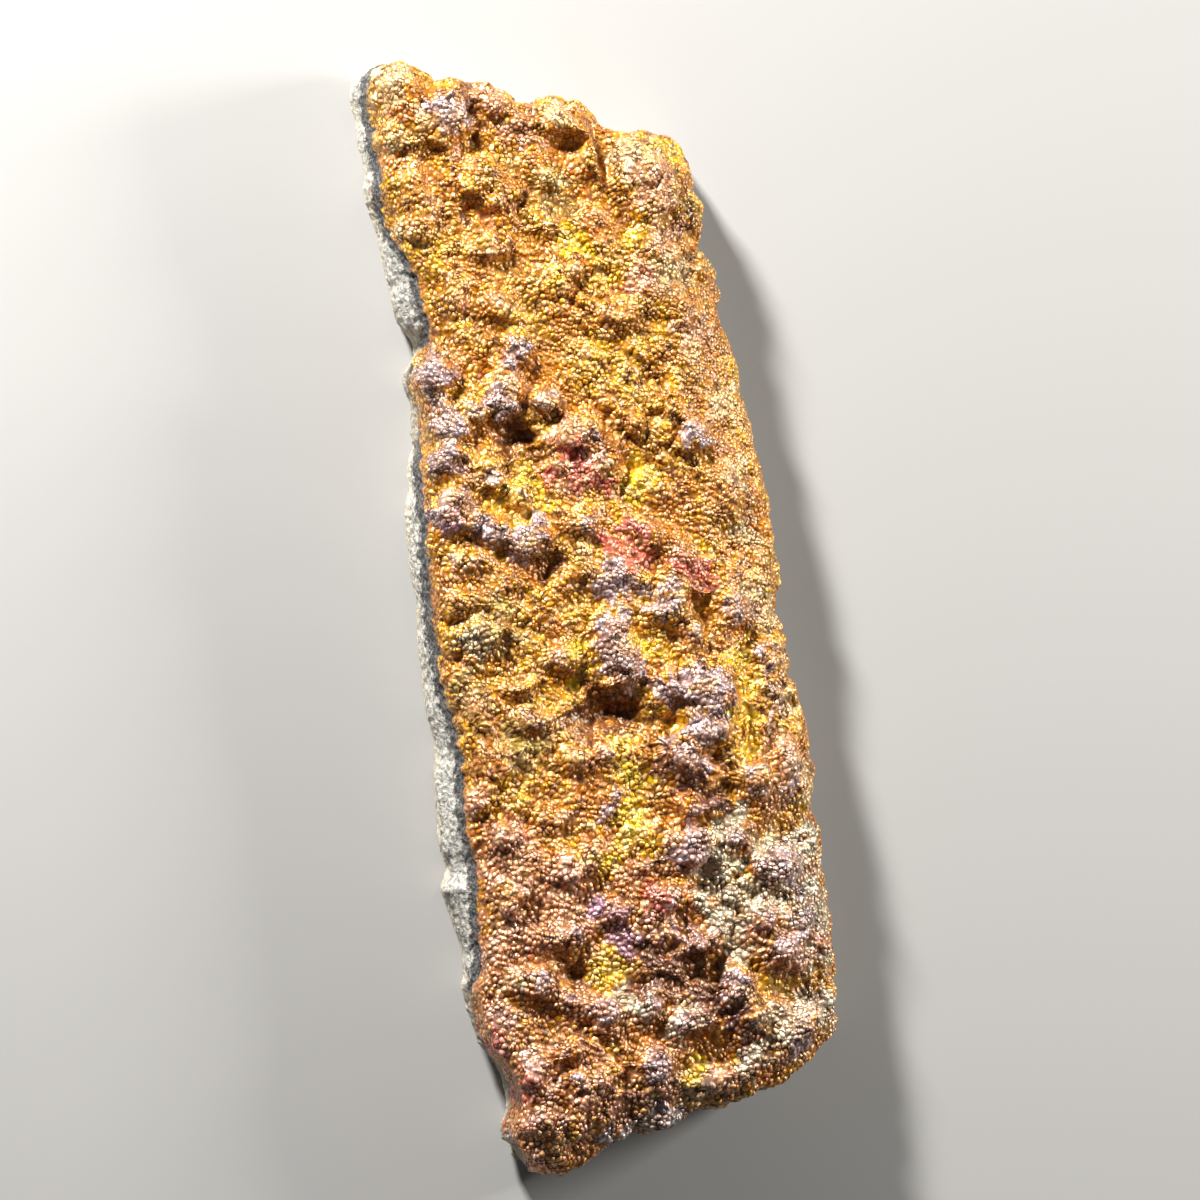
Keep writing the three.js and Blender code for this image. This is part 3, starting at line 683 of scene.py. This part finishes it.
# A painted highlight on the top of each ball.
BALL_TOP_HIGHLIGHT = colour(250, 232, 196)
# Painted shade in the creases between the balls, over their own dark brown.
CREASE_BROWN_AND_SHADE = colour(48, 20, 2)
# Painted shade in the hollows between the lumps, over their own darker golden brown.
HOLLOW_BROWN_AND_SHADE = colour(150, 86, 8)
ROCK = (colour(116, 114, 109), colour(190, 187, 177))  # its grains run from the first to the second
DARK_BAND = (colour(14, 12, 13), colour(92, 90, 90))
PALE_ROCK = colour(206, 194, 170)
RUST = colour(196, 150, 88)
print(len(FILM), "colours over amber and gold")

# %% Shader group: one patch over another colour


def group(name, ins, outs):
    """A new shader group with these inputs and outputs, and its two end nodes."""
    tree = bpy.data.node_groups.new(name, "ShaderNodeTree")
    for label, kind in ins.items():
        tree.interface.new_socket(label, in_out="INPUT", socket_type="NodeSocket" + kind)
    for label, kind in outs.items():
        tree.interface.new_socket(label, in_out="OUTPUT", socket_type="NodeSocket" + kind)
    return tree, node(tree, "NodeGroupInput").outputs, node(tree, "NodeGroupOutput").inputs


def mix_colour(tree, factor, under, over):
    """One colour over another."""
    return node(tree, "ShaderNodeMix", {0: factor, 6: under, 7: over}, data_type="RGBA").outputs[2]


def patch_group():
    """Mixes a colour over another through a mask with a ragged edge."""
    ins = {"Under": "Color", "Over": "Color", "Mask": "Float", "Ragged": "Float"}
    tree, given, made = group("ragged_patch", ins, {"Color": "Color"})
    shift = sums(tree, "MULTIPLY", sums(tree, "SUBTRACT", given["Ragged"], 0.5), 2.4)
    edge = sums(tree, "ADD", given["Mask"], shift)
    amount = sums(tree, "MULTIPLY", spread(tree, edge, 0.25, 1.0), spread(tree, given["Mask"], 0.02, 0.3))
    tree.links.new(mix_colour(tree, amount, given["Under"], given["Over"]), made["Color"])
    return tree


patches = patch_group()
print("patch group:", [s.name for s in patches.interface.items_tree])

# %% The film's colour


def attribute(tree, name, output="Fac"):
    """The values that were kept under this name, for a material."""
    return node(tree, "ShaderNodeAttribute", attribute_name=name).outputs[output]


def patched_film(tree, where):
    """The film's colour before the balls: amber with each patch mixed over it."""
    shade = mix_colour(tree, spread(tree, noise(tree, where, 7.0 * MM, 4.0, 0.65), 0.38, 0.62), AMBER, GOLD)
    for step, (name, over) in enumerate(FILM.items()):
        shifted = vectors(tree, "ADD", a=where, b=(0.01 * step, 0.02 * step, 0))
        ragged = noise(tree, shifted, 2.2 * MM, 3.0, 0.62)
        inputs = {"Under": shade, "Over": over, "Mask": attribute(tree, name), "Ragged": ragged}
        shade = node(tree, "ShaderNodeGroup", inputs, node_tree=patches).outputs["Color"]
    return shade


def ball_cells(tree, where):
    """The mesh's balls again: their height, their middle and crease, and a colour of their own."""
    bends = bent(tree, where)
    size = attribute(tree, "coarse")
    fine, fine_cells = caps(tree, bends, **FINE_BALL)
    coarse, coarse_cells = caps(tree, bends, **COARSE_BALL)
    own = mix_colour(tree, size, fine_cells.outputs["Color"], coarse_cells.outputs["Color"])
    edges = [to_edge(tree, bends, ball["spacing"]) for ball in (FINE_BALL, COARSE_BALL)]
    return {
        "height": mix(tree, size, fine, coarse),
        "depth": mix(tree, size, fine_cells.outputs["Distance"], coarse_cells.outputs["Distance"]),
        "edge": mix(tree, size, *edges),
        "own": node(tree, "ShaderNodeSeparateColor", {"Color": own}).outputs,
        "knuckle": caps(tree, bends, **KNUCKLE)[1].outputs["Distance"],
        "cluster": caps(tree, bends, **CLUSTER)[1].outputs["Distance"],
    }


def crowned_film(tree, where, balls):
    """The patches, paler on the crowns of the clusters and a little different on each ball."""
    crown = spread(tree, balls["cluster"], 0.55, 0.15, 0.35, 1.0)
    crown = sums(tree, "MULTIPLY", crown, spread(tree, attribute(tree, "relief"), -0.5, 0.6))
    uneven = spread(tree, noise(tree, where, 5.0 * MM, 3.0, 0.6), 0.36, 0.62, 0.15, 0.85)
    crown = sums(tree, "MULTIPLY", crown, uneven)
    crown_colour = mix_colour(tree, attribute(tree, "coarse"), PEACH, LILAC)
    varied = {
        "Color": mix_colour(tree, crown, patched_film(tree, where), crown_colour),
        "Hue": spread(tree, balls["own"][0], 0, 1, 0.488, 0.512),
        "Saturation": spread(tree, balls["own"][1], 0, 1, 0.85, 1.1),
        "Value": spread(tree, balls["own"][2], 0, 1, 0.88, 1.06),
    }
    return node(tree, "ShaderNodeHueSaturation", varied).outputs[0]


def creased_film(tree, where, balls):
    """The film with a painted highlight on each ball top, and brown hollows between the lumps and dark creases
    between the balls, both partly painted shade.
    """
    # Painted shade: the creases between knuckles and clusters and the low places of the relief are darkened
    # towards brown, partly the crust's own darker colour there and partly shade that falls in them, less so in
    # the yellow patches.
    between = sums(
        tree,
        "MAXIMUM",
        spread(tree, balls["knuckle"], 0.42, 0.72, 0.0, 0.45),
        spread(tree, balls["cluster"], 0.5, 0.75, 0.0, 0.5),
    )
    between = sums(tree, "MAXIMUM", between, spread(tree, attribute(tree, "relief"), 0.0, -0.9, 0.0, 0.45))
    between = sums(tree, "MULTIPLY", between, spread(tree, attribute(tree, "yellow"), 0.1, 0.6, 1.0, 0.3))
    # Painted highlight: the middle of each ball is made paler, where it would catch the light.
    tops = spread(tree, balls["depth"], 0.55, 0.15, 0.0, 0.16)
    pale = mix_colour(tree, tops, crowned_film(tree, where, balls), BALL_TOP_HIGHLIGHT)
    hollowed = mix_colour(tree, between, pale, HOLLOW_BROWN_AND_SHADE)
    # Painted shade in the thin creases between the balls, over their own dark brown.
    patchy = spread(tree, noise(tree, where, 2.0 * MM, 2.0), 0.35, 0.65, 0.5, 1.0)
    crease_brown_and_shade = sums(tree, "MULTIPLY", spread(tree, balls["edge"], 0.21, 0.02), patchy)
    crease_brown_and_shade = sums(tree, "MULTIPLY", crease_brown_and_shade, ball_strength(tree, attribute(tree, "relief")))
    return mix_colour(tree, crease_brown_and_shade, hollowed, CREASE_BROWN_AND_SHADE)


print("the film is", [step.__name__ for step in (patched_film, crowned_film, creased_film)])

# %% [markdown]
# ## The broken rock
# The rock under the crust is dull, so plain mixes of grey do for it. Right below the crust lies a dark band
# of earlier growth, full of black specks. How far each point lies below the crust's edge was kept before the
# growth, and it says where the band goes.

# %% The rock's colour


def rock_colour(tree, where, grain):
    """Grey rock with a dark band right below the crust, a pale rim low down and stains of rust."""
    rock = mix_colour(tree, spread(tree, grain, 0.35, 0.62), *ROCK)
    below = sums(tree, "ADD", attribute(tree, "rock_depth"), sums(tree, "MULTIPLY", grain, 4.0))
    flecks = spread(tree, noise(tree, where, 0.55 * MM, 2.0, 0.6), 0.42, 0.62)
    broken = mix_colour(tree, flecks, *DARK_BAND)
    rock = mix_colour(tree, sums(tree, "MULTIPLY", spread(tree, below, 5.0, 3.8), 0.92), rock, broken)
    blotch = sums(tree, "MULTIPLY", noise(tree, where, 4.0 * MM, 3.0, 0.6), 9.0 * MM)
    height_up = node(tree, "ShaderNodeSeparateXYZ", {"Vector": where}).outputs["Z"]
    rim = spread(tree, sums(tree, "ADD", height_up, blotch), 12.5 * MM, 8.5 * MM)
    rock = mix_colour(tree, sums(tree, "MULTIPLY", rim, 0.55), rock, PALE_ROCK)
    rust = spread(tree, noise(tree, where, 6.0 * MM, 3.0, 0.6), 0.6, 0.72)
    return mix_colour(tree, sums(tree, "MULTIPLY", rust, 0.55), rock, RUST)


print("rock grains, band, rim and rust are one function:", rock_colour.__name__)

# %% [markdown]
# ## One material for both
# The film is a thin skin on mineral, with a shine between that of stone and of metal. So the crust is partly
# metallic with a thin clear coat, each ball has a slightly different roughness, and the rock has neither.

# %% The material of the whole slab
FILM_METAL = 0.42
FILM_COAT = 0.2
FILM_COAT_ROUGHNESS = 0.2
FILM_ROUGHNESS = (0.34, 0.48)  # of the shiniest and the dullest balls
ROCK_ROUGHNESS = 0.85
BALL_BUMP = 0.9  # share of the balls' height that the bump repeats
ROCK_BUMP = 0.6 * MM


def slab_material():
    """Botryoidal crust and broken rock in one material, told apart by the crust mask."""
    finish = bpy.data.materials.new("goethite")
    finish.use_nodes = True
    tree = finish.node_tree
    shader = tree.nodes["Principled BSDF"]
    where = attribute(tree, "rest_place", "Vector")
    balls = ball_cells(tree, where)
    grain = noise(tree, where, 0.8 * MM, 4.0, 0.65)

    ragged_edge = sums(tree, "MULTIPLY", sums(tree, "SUBTRACT", grain, 0.5), 0.9)
    on_crust = spread(tree, sums(tree, "ADD", attribute(tree, "crust"), ragged_edge), 0.4, 0.6)
    shade = mix_colour(tree, on_crust, rock_colour(tree, where, grain), creased_film(tree, where, balls))
    tree.links.new(shade, shader.inputs["Base Color"])
    tree.links.new(sums(tree, "MULTIPLY", on_crust, FILM_METAL), shader.inputs["Metallic"])
    tree.links.new(sums(tree, "MULTIPLY", on_crust, FILM_COAT), shader.inputs["Coat Weight"])
    shader.inputs["Coat Roughness"].default_value = FILM_COAT_ROUGHNESS
    dullness = spread(tree, balls["own"][2], 0, 1, *FILM_ROUGHNESS)
    tree.links.new(mix(tree, on_crust, ROCK_ROUGHNESS, dullness), shader.inputs["Roughness"])

    fine_grain = sums(tree, "MULTIPLY", noise(tree, where, 0.35 * MM, 2.0), 0.02 * MM)
    crust_height = sums(tree, "ADD", sums(tree, "MULTIPLY", balls["height"], BALL_BUMP), fine_grain)
    height = mix(tree, on_crust, sums(tree, "MULTIPLY", grain, ROCK_BUMP), crust_height)
    bump = node(tree, "ShaderNodeBump", {"Height": height, "Strength": 1.0, "Distance": 1.0})
    tree.links.new(bump.outputs[0], shader.inputs["Normal"])
    return finish


goethite = slab_material()
for piece in bands:
    piece.data.materials.clear()
    piece.data.materials.append(goethite)
    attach(piece, "root")
    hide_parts(SLAB)
print(len(bands), "bands finished with", goethite.name)

# %% [markdown]
# ## Floor and light
# The photograph's light comes from the top and upper left of the picture, low enough to put a bright spot on
# each ball and a shadow under each lump. A weaker one from the right keeps the rolled flank bright, and a
# large faint one fills the shadows a little. All are area lights, over a plain pale floor.

# %% Floor
FLOOR_SIDE = 4.0

floor_mesh = bpy.data.meshes.new("floor")
half = FLOOR_SIDE / 2
corners = [(-half, -half, 0), (half, -half, 0), (half, half, 0), (-half, half, 0)]
floor_mesh.from_pydata(corners, [], [(0, 1, 2, 3)])
floor = bpy.data.objects.new("floor", floor_mesh)
bpy.context.scene.collection.objects.link(floor)
floor_finish = bpy.data.materials.new("pale_floor")
floor_finish.use_nodes = True
floor_shader = floor_finish.node_tree.nodes["Principled BSDF"]
floor_shader.inputs["Base Color"].default_value = (0.34, 0.337, 0.33, 1.0)
floor_shader.inputs["Roughness"].default_value = 0.9
floor.data.materials.append(floor_finish)
print("floor of", FLOOR_SIDE, "m a side")

# %% Lights


def area_light(name, spot_mm, side_mm, watts, tint):
    """A square lamp at a place in mm, aimed at the slab's middle."""
    lamp = bpy.data.lights.new(name, "AREA")
    lamp.size = side_mm * MM
    lamp.energy = watts
    lamp.color = tint
    holder = bpy.data.objects.new(name, lamp)
    holder.location = Vector(spot_mm) * MM
    holder.rotation_mode = "QUATERNION"
    holder.rotation_quaternion = (holder.location - AIM).to_track_quat("Z", "Y")
    bpy.context.scene.collection.objects.link(holder)


area_light("key", (-190, 400, 230), 60, 8.2, (1.0, 0.98, 0.95))
area_light("right", (420, 60, 200), 120, 2.6, (1.0, 0.97, 0.92))
area_light("fill", (-360, -220, 420), 400, 0.15, (0.94, 0.97, 1.0))

world = bpy.data.worlds.new("studio")
world.use_nodes = True
world.node_tree.nodes["Background"].inputs["Color"].default_value = (0.9, 0.92, 0.95, 1.0)
world.node_tree.nodes["Background"].inputs["Strength"].default_value = 0.04
bpy.context.scene.world = world
bpy.context.scene.view_settings.view_transform = "Standard"
